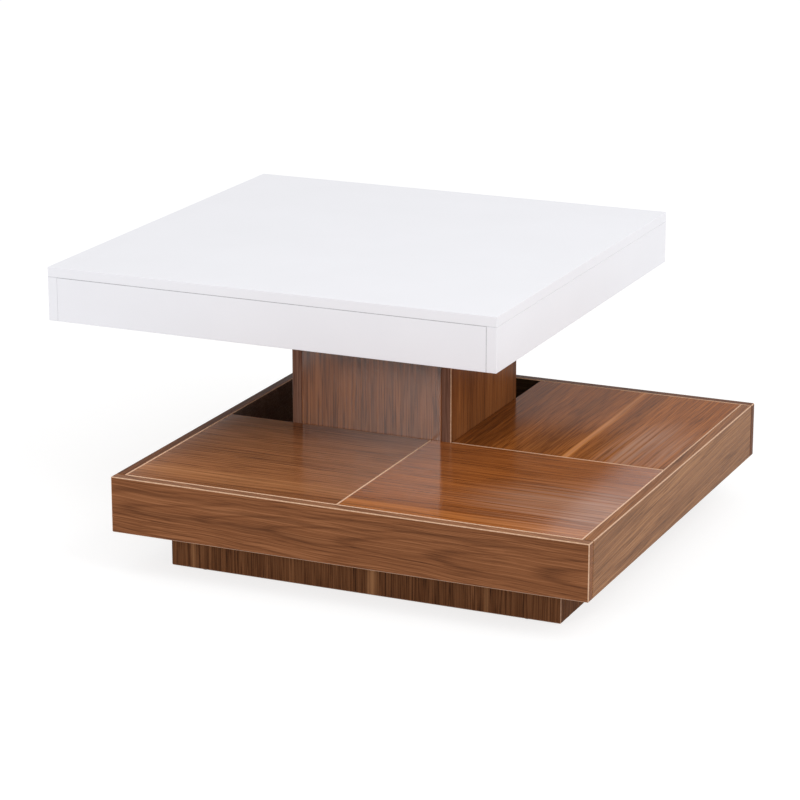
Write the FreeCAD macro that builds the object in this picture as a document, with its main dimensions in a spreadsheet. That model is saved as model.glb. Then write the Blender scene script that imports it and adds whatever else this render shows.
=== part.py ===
"""Swivel coffee table: a square white top that turns on a column standing in a walnut tray.

Frame: millimetres, +Z up, the front of the table towards -Y.  The origin is on the swivel axis
at floor level.  At rest the top is turned half a turn from its closed place over the tray.
"""

import FreeCAD
import Part
import Sketcher
import math
import os
import re
from collections import namedtuple

Vector = FreeCAD.Vector

# Driving dimensions, in millimetres unless the meaning says otherwise.
DIMENSIONS = (
    ("table_side", 700, "side of the square tray, and of the square top"),
    ("board", 15, "thickness of every board"),
    ("edge_ease", 1.2, "bevel along the edges of the walnut boards"),
    ("lacquer_ease", 0.5, "bevel along the edges of the white boards"),
    ("glide_height", 1.2, "height of a foot glide"),
    ("glide_diameter", 10, "diameter of a foot glide where it meets the plinth"),
    ("glide_taper", 0.5, "how much a glide narrows towards the floor, on the radius"),
    ("glide_end", 50, "distance of a glide from the end of its plinth board"),
    ("plinth_height", 60, "height of the tray's underside above the floor"),
    ("plinth_setback", 60, "how far the plinth stands back under the tray"),
    ("rail_height", 40, "height of the two rails across the plinth"),
    ("block_leg", 50, "leg of a triangular corner block in the plinth"),
    ("block_height", 40, "height of a corner block"),
    ("block_counterbore", 12, "depth of the counterbore in a corner block"),
    ("tray_height", 80, "height of the tray's walls"),
    ("deck_gap", 0.5, "gap between a deck and its neighbours"),
    ("ledger_width", 18, "width of the strips that carry the decks"),
    ("ledger_height", 20, "height of the strips that carry the decks"),
    ("column_side", 250, "side of the square column"),
    ("column_height", 200, "height of the column above the tray's floor"),
    ("top_height", 80, "height of the top, from its underside to its upper face"),
    ("dowel_diameter", 8, "diameter of a dowel"),
    ("dowel_edge_bite", 20, "length of a dowel in the edge of a board"),
    ("dowel_skin", 5, "wood left behind a dowel hole in the face of a board"),
    ("dowel_end", 100, "distance of a dowel from the end of an apron"),
    ("wall_dowel_inset", 22, "distance of a dowel from a tray wall's edges"),
    ("column_dowel_inset", 50, "distance of a dowel from a column board's ends"),
    ("peg_fit", 0.1, "clearance round a dowel, bolt, cam or screw, on the radius"),
    ("peg_gap", 0.5, "clearance past the end of a dowel, bolt, cam or screw"),
    ("cam_diameter", 15, "diameter of a cam lock"),
    ("cam_skin", 3, "wood left behind a cam lock"),
    ("cam_setback", 24, "distance of a cam lock from the edge of the tray's floor"),
    ("cam_end", 85, "distance of a cam lock from the end of that edge"),
    ("bolt_diameter", 6, "diameter of a cam bolt"),
    ("bolt_bite", 10, "length of a cam bolt in the wall"),
    ("column_screw_pitch", 120, "distance between the two screws under a column board"),
    ("column_screw_diameter", 7, "diameter of a column screw"),
    ("column_screw_head", 10, "diameter of a column screw's head"),
    ("column_screw_sink", 3.5, "depth of a column screw's head in the tray's floor"),
    ("column_screw_bite", 35, "length of a column screw in the column board"),
    ("block_screw_diameter", 4, "diameter of a corner block's screw"),
    ("block_screw_head", 8, "diameter of a corner block screw's head"),
    ("block_screw_head_height", 3, "height of a corner block screw's head"),
    ("block_screw_bite", 10, "length of a corner block's screw in the tray's floor"),
    ("bearing_side", 200, "side of the square bearing plates"),
    ("plate_corner", 12, "radius of a bearing plate's corners"),
    ("plate_gauge", 1.5, "thickness of the bearing's sheet steel"),
    ("race_radius", 80, "radius of the circle that the balls run on"),
    ("race_width", 9, "width of the raised race rings"),
    ("race_floor", 0.45, "height of the race's lowest line above its plate"),
    ("ball_diameter", 5, "diameter of a bearing ball"),
    ("ball_count", 24, "number of bearing balls"),
    ("ball_clearance", 0.3, "running clearance between a ball and its races"),
    ("cage_gauge", 0.8, "thickness of the ball cage"),
    ("cage_clearance", 0.35, "running clearance above and below the cage"),
    ("cage_margin", 0.5, "how far the cage stays inside the race rings' edges"),
    ("cage_fit", 0.2, "clearance round a ball in its cage, on the radius"),
    ("lip_reach", 6, "reach of the lower plate's lip inside its race ring"),
    ("hook_gap", 0.3, "running clearance round the retainer's hook"),
    ("hook_lift", 0.5, "height of the retainer's hook above the column"),
    ("bearing_screw_inset", 8, "distance of a bearing screw from the plate's edges"),
    ("bearing_screw_diameter", 4, "diameter of a bearing screw"),
    ("bearing_screw_head", 8, "diameter of a bearing screw's head"),
    ("bearing_screw_bite", 11, "length of a bearing screw in the wood"),
    ("head_clearance", 1.1, "clearance between passing heads of bearing screws"),
)

ALIASES = re.compile(r"\b(" + "|".join(alias for alias, _, _ in DIMENSIONS) + r")\b")

doc = FreeCAD.newDocument("SwivelCoffeeTable")
sheet = doc.addObject("Spreadsheet::Sheet", "Dims")
for row, (alias, value, meaning) in enumerate(DIMENSIONS, start=1):
    sheet.set(f"A{row}", meaning)
    sheet.set(f"B{row}", str(value))
    sheet.setAlias(f"B{row}", alias)
doc.recompute()


# Places, written as expressions of the driving dimensions.

def inset(span, amount):
    """A span drawn in by an amount at both ends."""
    return f"({span[0]} + {amount})", f"({span[1]} - {amount})"


def first_board(span):
    """The board thickness at the low end of a span."""
    return span[0], f"({span[0]} + board)"


def last_board(span):
    """The board thickness at the high end of a span."""
    return f"({span[1]} - board)", span[1]


def middle(span):
    """The middle of a span."""
    return f"(({span[0]} + {span[1]}) / 2)"


# The swivel axis stands off the tray's centre, back and to the left, so the column's near
# corner passes the centre by one board.  The top's centre stands off the axis by as much.
AXIS_OFFSET = "(column_side / 2 - board)"
TRAY_X = (f"({AXIS_OFFSET} - table_side / 2)", f"({AXIS_OFFSET} + table_side / 2)")
TRAY_Y = (f"(-{AXIS_OFFSET} - table_side / 2)", f"(-{AXIS_OFFSET} + table_side / 2)")
TOP_X = TRAY_Y
TOP_Y = TRAY_X
COLUMN = ("(-column_side / 2)", "(column_side / 2)")

PLINTH_X = inset(TRAY_X, "plinth_setback")
PLINTH_Y = inset(TRAY_Y, "plinth_setback")
PLINTH_Z = ("glide_height", "plinth_height")
RAIL_Z = ("(plinth_height - rail_height)", "plinth_height")

TRAY_Z = ("plinth_height", "(plinth_height + tray_height)")
FLOOR_X = inset(TRAY_X, "board")
FLOOR_Y = inset(TRAY_Y, "board")
FLOOR_Z = first_board(TRAY_Z)
DECK_Z = last_board(TRAY_Z)
UNDER_DECK_Z = (FLOOR_Z[1], DECK_Z[0])
LEDGER_Z = (f"({DECK_Z[0]} - ledger_height)", DECK_Z[0])

# The decks meet along the column's front face and, in front of it, one board left of the centre.
DECK_SEAM_X = f"({AXIS_OFFSET} - board)"
DECK_SEAM_Y = COLUMN[0]

COLUMN_Z = (FLOOR_Z[1], f"({FLOOR_Z[1]} + column_height)")
COLUMN_INSIDE = inset(COLUMN, "board")
CAP_Z = last_board(COLUMN_Z)

BEARING_RISE = "(2 * (plate_gauge + race_floor + ball_clearance) + ball_diameter)"
TOP_Z = (f"({COLUMN_Z[1]} + {BEARING_RISE})", f"({COLUMN_Z[1]} + {BEARING_RISE} + top_height)")
APRON_Z = (TOP_Z[0], f"({TOP_Z[1]} - board)")
UNDERSIDE_X = inset(TOP_X, "board")
UNDERSIDE_Y = inset(TOP_Y, "board")
UNDERSIDE_Z = first_board(TOP_Z)
RIB_Z = (UNDERSIDE_Z[1], APRON_Z[1])


# Ways to make boards, holes and rods.

Hole = namedtuple("Hole", "axis toward face depth diameter points")
Joint = namedtuple("Joint", "axis toward plane points")

AXES = {"X": Vector(1, 0, 0), "Y": Vector(0, 1, 0), "Z": Vector(0, 0, 1)}

# Lines and circles are first drawn at a rough place and size, and their constraints then move them.
ROUGH_PLACE = 2
ROUGH_SIZE = 1

subparts = []


def bind(text):
    """An expression with its dimension names spelled as cells of the sheet."""
    return ALIASES.sub(r"Dims.\1", text)


def place(thing, corner):
    """Tie an object's place to three expressions."""
    for letter, text in zip("xyz", corner):
        thing.setExpression(f"Placement.Base.{letter}", bind(text))


def new_body(label):
    """A body that becomes one sub-part.  It may hold separate solids, as a set of balls does."""
    body = doc.addObject("PartDesign::Body", label)
    body.Label = label
    body.AllowCompound = True
    subparts.append(body)
    return body


def new_feature(body, kind, name):
    """A PartDesign feature that becomes the tip of its body."""
    feature = body.newObject(f"PartDesign::{kind}", name)
    body.Tip = feature
    return feature


def origin_feature(body, role):
    """A plane or an axis of a body's own origin."""
    return next(item for item in body.Origin.OriginFeatures if item.Role == role)


def new_sketch(body, role, name, lift="0"):
    """A sketch on a body's origin plane, lifted along that plane's normal."""
    sketch = body.newObject("Sketcher::SketchObject", name)
    sketch.AttachmentSupport = (origin_feature(body, role), [""])
    sketch.MapMode = "FlatFace"
    sketch.setExpression("AttachmentOffset.Base.z", bind(lift))
    return sketch


def set_distance(sketch, kind, geometry, point, text):
    """Hold a sketched point at a distance from the origin, or on an axis where it is zero."""
    if text == "0":
        axis = {"DistanceX": -2, "DistanceY": -1}[kind]
        sketch.addConstraint(Sketcher.Constraint("PointOnObject", geometry, point, axis))
        return
    index = sketch.addConstraint(Sketcher.Constraint(kind, -1, 1, geometry, point, ROUGH_SIZE))
    sketch.setExpression(f"Constraints[{index}]", bind(text))


def draw_outline(sketch, corners):
    """A closed outline of straight lines through corners given by expressions."""
    count = len(corners)
    turns = [2 * math.pi * number / count for number in range(count)]
    rough = [
        Vector(ROUGH_PLACE + ROUGH_SIZE * math.cos(turn), ROUGH_PLACE + ROUGH_SIZE * math.sin(turn), 0)
        for turn in turns
    ]
    lines = [
        sketch.addGeometry(Part.LineSegment(rough[number], rough[(number + 1) % count]))
        for number in range(count)
    ]
    for number, line in enumerate(lines):
        sketch.addConstraint(Sketcher.Constraint("Coincident", line, 2, lines[(number + 1) % count], 1))
    for line, (across, along) in zip(lines, corners):
        set_distance(sketch, "DistanceX", line, 1, across)
        set_distance(sketch, "DistanceY", line, 1, along)


def draw_square(sketch, side):
    """A square centred on the origin."""
    rough = [Vector(x, y, 0) * ROUGH_SIZE for x, y in ((-1, -1), (1, -1), (1, 1), (-1, 1))]
    lines = [
        sketch.addGeometry(Part.LineSegment(rough[number], rough[(number + 1) % 4]))
        for number in range(4)
    ]
    for number, line in enumerate(lines):
        sketch.addConstraint(Sketcher.Constraint("Coincident", line, 2, lines[(number + 1) % 4], 1))
        direction = "Horizontal" if number % 2 == 0 else "Vertical"
        sketch.addConstraint(Sketcher.Constraint(direction, line))
    sketch.addConstraint(Sketcher.Constraint("Symmetric", lines[0], 1, lines[2], 1, -1, 1))
    sketch.addConstraint(Sketcher.Constraint("Equal", lines[0], lines[1]))
    index = sketch.addConstraint(Sketcher.Constraint("Distance", lines[0], 2 * ROUGH_SIZE))
    sketch.setExpression(f"Constraints[{index}]", bind(side))


def draw_circle(sketch, across, along, diameter):
    """A circle with its centre given by two expressions."""
    start = Vector(ROUGH_PLACE * (sketch.GeometryCount + 1), ROUGH_PLACE, 0)
    circle = sketch.addGeometry(Part.Circle(start, AXES["Z"], ROUGH_SIZE))
    index = sketch.addConstraint(Sketcher.Constraint("Diameter", circle, 2 * ROUGH_SIZE))
    sketch.setExpression(f"Constraints[{index}]", bind(diameter))
    set_distance(sketch, "DistanceX", circle, 3, across)
    set_distance(sketch, "DistanceY", circle, 3, along)


def pad(body, sketch, length, name):
    """Raise a sketch into a solid."""
    feature = new_feature(body, "Pad", name)
    feature.Profile = sketch
    feature.setExpression("Length", bind(length))
    return feature


def drill(body, corner, hole, name):
    """Sink a set of round holes into a body whose low corner is given."""
    low = dict(zip("XYZ", corner))
    across = "XYZ".replace(hole.axis, "")
    facing = -1 if across == "XZ" else 1
    lift = f"{facing} * ({hole.face} - {low[hole.axis]})"
    sketch = new_sketch(body, f"{across}_Plane", f"{name}_marks", lift)
    for point in hole.points:
        local = [f"{text} - {low[letter]}" for letter, text in zip(across, point)]
        draw_circle(sketch, *local, hole.diameter)
    feature = new_feature(body, "Pocket", name)
    feature.Profile = sketch
    feature.setExpression("Length", bind(hole.depth))
    feature.Reversed = hole.toward == facing


def repeat_round(body, feature, count, name):
    """Repeat a feature round the body's upright axis."""
    pattern = new_feature(body, "PolarPattern", name)
    pattern.Originals = [feature]
    pattern.Axis = (origin_feature(body, "Z_Axis"), [""])
    pattern.Angle = 360
    pattern.setExpression("Occurrences", bind(count))


def board(label, spans, ease, holes=()):
    """A board that fills three spans, with its edges eased and its holes drilled."""
    corner = [span[0] for span in spans]
    width, depth, height = (f"{span[1]} - {span[0]}" for span in spans)
    body = new_body(label)
    outline = new_sketch(body, "XY_Plane", f"{label}_outline")
    draw_outline(outline, [("0", "0"), (width, "0"), (width, depth), ("0", depth)])
    base = pad(body, outline, height, f"{label}_pad")
    bevel = new_feature(body, "Chamfer", f"{label}_ease")
    bevel.Base = (base, [f"Edge{number}" for number in range(1, 13)])
    bevel.setExpression("Size", bind(ease))
    for number, hole in enumerate(holes, start=1):
        drill(body, corner, hole, f"{label}_holes_{number}")
    place(body, corner)


def strip(label, spans):
    """A plain sawn strip that fills three spans."""
    piece = doc.addObject("Part::Box", label)
    piece.Label = label
    for side, span in zip(("Length", "Width", "Height"), spans):
        piece.setExpression(side, bind(f"{span[1]} - {span[0]}"))
    place(piece, [span[0] for span in spans])
    subparts.append(piece)


def rod(name, axis, toward, start, length, diameter, point):
    """A round rod that starts on a plane across an axis and runs along it."""
    piece = doc.addObject("Part::Cylinder", name)
    piece.setExpression("Radius", bind(f"{diameter} / 2"))
    piece.setExpression("Height", bind(length))
    piece.Placement = FreeCAD.Placement(Vector(), FreeCAD.Rotation(AXES["Z"], AXES[axis] * toward))
    corner = list(point)
    corner.insert("XYZ".index(axis), start)
    place(piece, corner)
    return piece


def screw(name, toward, seat, point, head, shank):
    """An upright screw: its head ends on the seat and its shank runs on from there."""
    head_diameter, head_height = head
    shank_diameter, shank_length = shank
    piece = doc.addObject("Part::Fuse", name)
    piece.Base = rod(f"{name}_head", "Z", -toward, seat, head_height, head_diameter, point)
    piece.Tool = rod(f"{name}_shank", "Z", toward, seat, shank_length, shank_diameter, point)
    return piece


def group(label, pieces):
    """Identical fasteners kept together as one sub-part of separate solids."""
    together = doc.addObject("Part::Compound", label)
    together.Label = label
    together.Links = pieces
    subparts.append(together)


# Dowel joints.  Each runs from the board that is drilled in its face to the one drilled in its edge.

DOWEL_HOLE = "(dowel_diameter + 2 * peg_fit)"
DOWEL_FACE_BITE = "(board - dowel_skin)"


def face_holes(joint):
    """The dowel holes in the face of a joint's first board."""
    depth = f"{DOWEL_FACE_BITE} + peg_gap"
    return Hole(joint.axis, -joint.toward, joint.plane, depth, DOWEL_HOLE, joint.points)


def edge_holes(joint):
    """The dowel holes in the edge of a joint's second board."""
    depth = "dowel_edge_bite + peg_gap"
    return Hole(joint.axis, joint.toward, joint.plane, depth, DOWEL_HOLE, joint.points)


def dowels(label, joints):
    """All the dowels of some joints."""
    pieces = []
    for number, joint in enumerate(joints, start=1):
        start = f"({joint.plane} - {joint.toward} * {DOWEL_FACE_BITE})"
        length = f"{DOWEL_FACE_BITE} + dowel_edge_bite"
        for place_number, point in enumerate(joint.points, start=1):
            name = f"{label}_{number}_{place_number}"
            pieces.append(rod(name, joint.axis, joint.toward, start, length, "dowel_diameter", point))
    group(label, pieces)


# The plinth: four boards set back under the tray, two rails, corner blocks and glides.

BLOCK_CENTRE = "(block_leg / 3)"


def make_plinth():
    """The recessed plinth that the table stands on."""
    board("plinth_front", (PLINTH_X, first_board(PLINTH_Y), PLINTH_Z), "edge_ease")
    board("plinth_back", (PLINTH_X, last_board(PLINTH_Y), PLINTH_Z), "edge_ease")
    between = inset(PLINTH_Y, "board")
    board("plinth_left", (first_board(PLINTH_X), between, PLINTH_Z), "edge_ease")
    board("plinth_right", (last_board(PLINTH_X), between, PLINTH_Z), "edge_ease")
    third = f"(({PLINTH_X[1]} - {PLINTH_X[0]}) / 3)"
    for side, low in (("left", f"{PLINTH_X[0]} + {third}"), ("right", f"{PLINTH_X[1]} - {third}")):
        strip(f"plinth_rail_{side}", (inset((low, low), "(-board / 2)"), between, RAIL_Z))
    make_corner_blocks()
    make_glides()


def make_corner_blocks():
    """Triangular blocks in the plinth's corners, each held up to the tray's floor by a screw."""
    inside_x = inset(PLINTH_X, "board")
    inside_y = inset(PLINTH_Y, "board")
    corners = (("front_left", 0, 0), ("front_right", 1, 0), ("back_right", 1, 1), ("back_left", 0, 1))
    screws = []
    seat = "(plinth_height - block_height + block_counterbore)"
    for quarter_turns, (name, side_x, side_y) in enumerate(corners):
        label = f"plinth_block_{name}"
        body = new_body(label)
        outline = new_sketch(body, "XY_Plane", f"{label}_outline")
        draw_outline(outline, [("0", "0"), ("block_leg", "0"), ("0", "block_leg")])
        pad(body, outline, "block_height", f"{label}_pad")
        middle_point = [(BLOCK_CENTRE, BLOCK_CENTRE)]
        shank_hole = "(block_screw_diameter + 2 * peg_fit)"
        head_hole = "(block_screw_head + 2 * peg_fit)"
        origin = ("0", "0", "0")
        drill(body, origin, Hole("Z", 1, "0", "block_height", shank_hole, middle_point), f"{label}_bore")
        drill(body, origin, Hole("Z", 1, "0", "block_counterbore", head_hole, middle_point), f"{label}_sink")
        body.Placement = FreeCAD.Placement(Vector(), FreeCAD.Rotation(AXES["Z"], 90 * quarter_turns))
        place(body, (inside_x[side_x], inside_y[side_y], RAIL_Z[1] + " - block_height"))
        point = (
            f"({inside_x[side_x]} + {1 - 2 * side_x} * {BLOCK_CENTRE})",
            f"({inside_y[side_y]} + {1 - 2 * side_y} * {BLOCK_CENTRE})",
        )
        head = ("block_screw_head", "block_screw_head_height")
        shank = ("block_screw_diameter", "block_height - block_counterbore + block_screw_bite")
        screws.append(screw(f"block_screw_{name}", 1, seat, point, head, shank))
    group("plinth_block_screws", screws)


def make_glides():
    """Two tapered glides under each plinth board."""
    points = []
    between = inset(PLINTH_Y, "board")
    for x in inset(PLINTH_X, "glide_end"):
        points.append((x, middle(first_board(PLINTH_Y))))
        points.append((x, middle(last_board(PLINTH_Y))))
    for y in inset(between, "glide_end"):
        points.append((middle(first_board(PLINTH_X)), y))
        points.append((middle(last_board(PLINTH_X)), y))
    glides = []
    for number, (x, y) in enumerate(points, start=1):
        glide = doc.addObject("Part::Cone", f"foot_glide_{number}")
        glide.setExpression("Radius1", bind("glide_diameter / 2 - glide_taper"))
        glide.setExpression("Radius2", bind("glide_diameter / 2"))
        glide.setExpression("Height", bind("glide_height"))
        place(glide, (x, y, "0"))
        glides.append(glide)
    group("foot_glides", glides)


# The tray: floor and walls held by cam locks and dowels, and three fixed decks level with the rim.

def tray_edges():
    """The tray floor's four edges: wall, axis, direction inwards, plane, and the span along the edge."""
    return (
        ("left", "X", 1, FLOOR_X[0], FLOOR_Y),
        ("right", "X", -1, FLOOR_X[1], FLOOR_Y),
        ("front", "Y", 1, FLOOR_Y[0], FLOOR_X),
        ("back", "Y", -1, FLOOR_Y[1], FLOOR_X),
    )


def make_tray_shell():
    """The tray's floor and its four walls, with the fasteners between them."""
    floor_middle = middle(FLOOR_Z)
    bolt_hole = "(bolt_diameter + 2 * peg_fit)"
    cam_hole = "(cam_diameter + 2 * peg_fit)"
    cam_depth = "(board - cam_skin)"
    cam_height = f"({cam_depth} - peg_gap)"
    floor_holes = column_screw_holes_in_floor() + block_screw_holes_in_floor()
    wall_holes = {}
    floor_joints = []
    bolts = []
    cams = []
    for wall, axis, inward, plane, along in tray_edges():
        joint = Joint(axis, inward, plane, [(middle(along), floor_middle)])
        floor_joints.append(joint)
        ends = inset(along, "cam_end")
        points = [(end, floor_middle) for end in ends]
        floor_holes.append(edge_holes(joint))
        floor_holes.append(Hole(axis, inward, plane, "cam_setback", bolt_hole, points))
        wall_holes[wall] = [
            face_holes(joint),
            Hole(axis, -inward, plane, "bolt_bite + peg_gap", bolt_hole, points),
        ]
        cam_line = f"({plane} + {inward} * cam_setback)"
        seats = [(cam_line, end) if axis == "X" else (end, cam_line) for end in ends]
        floor_holes.append(Hole("Z", 1, FLOOR_Z[0], cam_depth, cam_hole, seats))
        for number, (point, seat) in enumerate(zip(points, seats), start=1):
            name = f"{wall}_{number}"
            start = f"({plane} - {inward} * bolt_bite)"
            bolts.append(
                rod(f"bolt_{name}", axis, inward, start, "bolt_bite + cam_setback", "bolt_diameter", point)
            )
            cam = doc.addObject("Part::Cut", f"cam_{name}")
            cam.Base = rod(f"cam_disc_{name}", "Z", 1, FLOOR_Z[0], cam_height, "cam_diameter", seat)
            cam.Tool = rod(
                f"cam_mouth_{name}", axis, inward, plane, "cam_setback + peg_gap", bolt_hole, point
            )
            cams.append(cam)

    corner_heights = inset(TRAY_Z, "wall_dowel_inset")
    corner_joints = {}
    for end, inward, plane in (("front", 1, FLOOR_Y[0]), ("back", -1, FLOOR_Y[1])):
        for side, wall in (("left", first_board(TRAY_X)), ("right", last_board(TRAY_X))):
            points = [(middle(wall), height) for height in corner_heights]
            corner_joints[end, side] = Joint("Y", inward, plane, points)
    for (end, side), joint in corner_joints.items():
        wall_holes[end].append(face_holes(joint))
        wall_holes[side].append(edge_holes(joint))

    board("tray_floor", (FLOOR_X, FLOOR_Y, FLOOR_Z), "edge_ease", floor_holes)
    board("tray_front", (TRAY_X, first_board(TRAY_Y), TRAY_Z), "edge_ease", wall_holes["front"])
    board("tray_back", (TRAY_X, last_board(TRAY_Y), TRAY_Z), "edge_ease", wall_holes["back"])
    board("tray_left", (first_board(TRAY_X), FLOOR_Y, TRAY_Z), "edge_ease", wall_holes["left"])
    board("tray_right", (last_board(TRAY_X), FLOOR_Y, TRAY_Z), "edge_ease", wall_holes["right"])
    dowels("tray_dowels", floor_joints + list(corner_joints.values()))
    group("tray_cam_bolts", bolts)
    group("tray_cams", cams)


def block_screw_holes_in_floor():
    """The pilot holes for the plinth's block screws."""
    inside_x = inset(inset(PLINTH_X, "board"), BLOCK_CENTRE)
    inside_y = inset(inset(PLINTH_Y, "board"), BLOCK_CENTRE)
    points = [(x, y) for x in inside_x for y in inside_y]
    pilot = "(block_screw_diameter + 2 * peg_fit)"
    return [Hole("Z", 1, FLOOR_Z[0], "block_screw_bite + peg_gap", pilot, points)]


def make_tray_inside():
    """The dividers and ledgers under the decks, and the decks themselves."""
    beside_column = (COLUMN[1], f"({COLUMN[1]} + board)")
    front_run = (FLOOR_Y[0], f"({DECK_SEAM_Y} - board)")
    strip("cross_divider", (FLOOR_X, (front_run[1], DECK_SEAM_Y), UNDER_DECK_Z))
    strip("side_divider", (beside_column, (DECK_SEAM_Y, FLOOR_Y[1]), UNDER_DECK_Z))
    seam_board = (f"({DECK_SEAM_X} - board / 2)", f"({DECK_SEAM_X} + board / 2)")
    strip("front_divider", (seam_board, front_run, UNDER_DECK_Z))

    left_ledge = (FLOOR_X[0], f"({FLOOR_X[0]} + ledger_width)")
    right_ledge = (f"({FLOOR_X[1]} - ledger_width)", FLOOR_X[1])
    front_ledge = (FLOOR_Y[0], f"({FLOOR_Y[0]} + ledger_width)")
    middle_ledge = (DECK_SEAM_Y, f"({DECK_SEAM_Y} + ledger_width)")
    back_ledge = (f"({FLOOR_Y[1]} - ledger_width)", FLOOR_Y[1])
    back_run = (beside_column[1], right_ledge[0])
    strip("ledger_left", (left_ledge, front_run, LEDGER_Z))
    strip("ledger_front_left", ((left_ledge[1], seam_board[0]), front_ledge, LEDGER_Z))
    strip("ledger_front_right", ((seam_board[1], right_ledge[0]), front_ledge, LEDGER_Z))
    strip("ledger_right_front", (right_ledge, front_run, LEDGER_Z))
    strip("ledger_right_back", (right_ledge, (DECK_SEAM_Y, FLOOR_Y[1]), LEDGER_Z))
    strip("ledger_middle", (back_run, middle_ledge, LEDGER_Z))
    strip("ledger_back", (back_run, back_ledge, LEDGER_Z))

    front_deck = (f"({FLOOR_Y[0]} + deck_gap)", f"({DECK_SEAM_Y} - deck_gap / 2)")
    back_deck = (f"({DECK_SEAM_Y} + deck_gap / 2)", f"({FLOOR_Y[1]} - deck_gap)")
    left_deck = (f"({FLOOR_X[0]} + deck_gap)", f"({DECK_SEAM_X} - deck_gap / 2)")
    right_deck = (f"({DECK_SEAM_X} + deck_gap / 2)", f"({FLOOR_X[1]} - deck_gap)")
    beside_deck = (f"({COLUMN[1]} + deck_gap / 2)", right_deck[1])
    board("deck_front_left", (left_deck, front_deck, DECK_Z), "edge_ease")
    board("deck_front_right", (right_deck, front_deck, DECK_Z), "edge_ease")
    board("deck_right_back", (beside_deck, back_deck, DECK_Z), "edge_ease")


# The column: two boards of full depth, two between them, and a cap that carries the bearing.

def column_screw_rows():
    """For each column board, the places of the two screws that come up through the tray's floor."""
    ends = ("(-column_screw_pitch / 2)", "(column_screw_pitch / 2)")
    front = middle(first_board(COLUMN))
    back = middle(last_board(COLUMN))
    return {
        "front": [(end, front) for end in ends],
        "back": [(end, back) for end in ends],
        "left": [(front, end) for end in ends],
        "right": [(back, end) for end in ends],
    }


def column_screw_holes_in_floor():
    """The stepped holes in the tray's floor for the column screws."""
    points = [point for row in column_screw_rows().values() for point in row]
    shank_hole = "(column_screw_diameter + 2 * peg_fit)"
    head_hole = "(column_screw_head + 2 * peg_fit)"
    return [
        Hole("Z", 1, FLOOR_Z[0], "board", shank_hole, points),
        Hole("Z", 1, FLOOR_Z[0], "column_screw_sink", head_hole, points),
    ]


def make_column():
    """The hollow square column that stands on the tray's floor."""
    rows = column_screw_rows()
    pilot = "(column_screw_diameter + 2 * peg_fit)"
    holes = {
        side: [Hole("Z", 1, COLUMN_Z[0], "column_screw_bite + peg_gap", pilot, points)]
        for side, points in rows.items()
    }
    cap_holes = []
    joints = []
    heights = inset(COLUMN_Z, "column_dowel_inset")
    for side, inward, plane in (("left", 1, COLUMN_INSIDE[0]), ("right", -1, COLUMN_INSIDE[1])):
        for face, wall in (("front", first_board(COLUMN)), ("back", last_board(COLUMN))):
            joint = Joint("X", inward, plane, [(middle(wall), height) for height in heights])
            holes[side].append(face_holes(joint))
            holes[face].append(edge_holes(joint))
            joints.append(joint)
    for side, axis, inward, plane in (
        ("left", "X", 1, COLUMN_INSIDE[0]),
        ("right", "X", -1, COLUMN_INSIDE[1]),
        ("front", "Y", 1, COLUMN_INSIDE[0]),
        ("back", "Y", -1, COLUMN_INSIDE[1]),
    ):
        joint = Joint(axis, inward, plane, [(middle(COLUMN), middle(CAP_Z))])
        holes[side].append(face_holes(joint))
        cap_holes.append(edge_holes(joint))
        joints.append(joint)
    cap_holes.append(bearing_pilot_holes(CAP_Z[1], -1))

    board("column_left", (first_board(COLUMN), COLUMN, COLUMN_Z), "edge_ease", holes["left"])
    board("column_right", (last_board(COLUMN), COLUMN, COLUMN_Z), "edge_ease", holes["right"])
    board("column_front", (COLUMN_INSIDE, first_board(COLUMN), COLUMN_Z), "edge_ease", holes["front"])
    board("column_back", (COLUMN_INSIDE, last_board(COLUMN), COLUMN_Z), "edge_ease", holes["back"])
    board("column_cap", (COLUMN_INSIDE, COLUMN_INSIDE, CAP_Z), "edge_ease", cap_holes)
    dowels("column_dowels", joints)

    head = ("column_screw_head", "column_screw_sink")
    shank = ("column_screw_diameter", "board - column_screw_sink + column_screw_bite")
    seat = f"({FLOOR_Z[0]} + column_screw_sink)"
    points = [point for row in rows.values() for point in row]
    screws = [
        screw(f"column_screw_{number}", 1, seat, point, head, shank)
        for number, point in enumerate(points, start=1)
    ]
    group("column_screws", screws)


# The swivel bearing: two pressed plates with raised races, a cage of balls between them, and a
# hooked retainer ring that keeps the upper plate from lifting off the lower one.

BEARING_MIDDLE = f"({BEARING_RISE} / 2)"
RACE_INNER = "(race_radius - race_width / 2)"
RACE_OUTER = "(race_radius + race_width / 2)"
RACE_TOP = f"({BEARING_MIDDLE} - cage_gauge / 2 - cage_clearance)"
LIP_EDGE = f"({RACE_INNER} - lip_reach)"
LIP_LOW = "(hook_lift + plate_gauge + hook_gap)"
LIP_HIGH = f"({LIP_LOW} + plate_gauge)"
RETAINER_OUTER = f"({LIP_EDGE} - hook_gap)"
RETAINER_INNER = f"({RETAINER_OUTER} - plate_gauge)"
HOOK_TIP = f"({RACE_INNER} - hook_gap)"
BEARING_SCREW_AT = "(bearing_side / 2 - bearing_screw_inset)"
BEARING_SCREW_HOLE = "(bearing_screw_diameter + 2 * peg_fit)"


def bearing_screw_points():
    """The four places where a plate is screwed on, so near its corners that the upper plate's
    screws stand clear of the column when the top is turned an eighth of a turn."""
    near = f"(-{BEARING_SCREW_AT})"
    return [(x, y) for x in (near, BEARING_SCREW_AT) for y in (near, BEARING_SCREW_AT)]


def bearing_pilot_holes(face, toward):
    """The pilot holes for the bearing's screws in the board that a plate lies on."""
    depth = "bearing_screw_bite + peg_gap"
    return Hole("Z", toward, face, depth, BEARING_SCREW_HOLE, bearing_screw_points())


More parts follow.
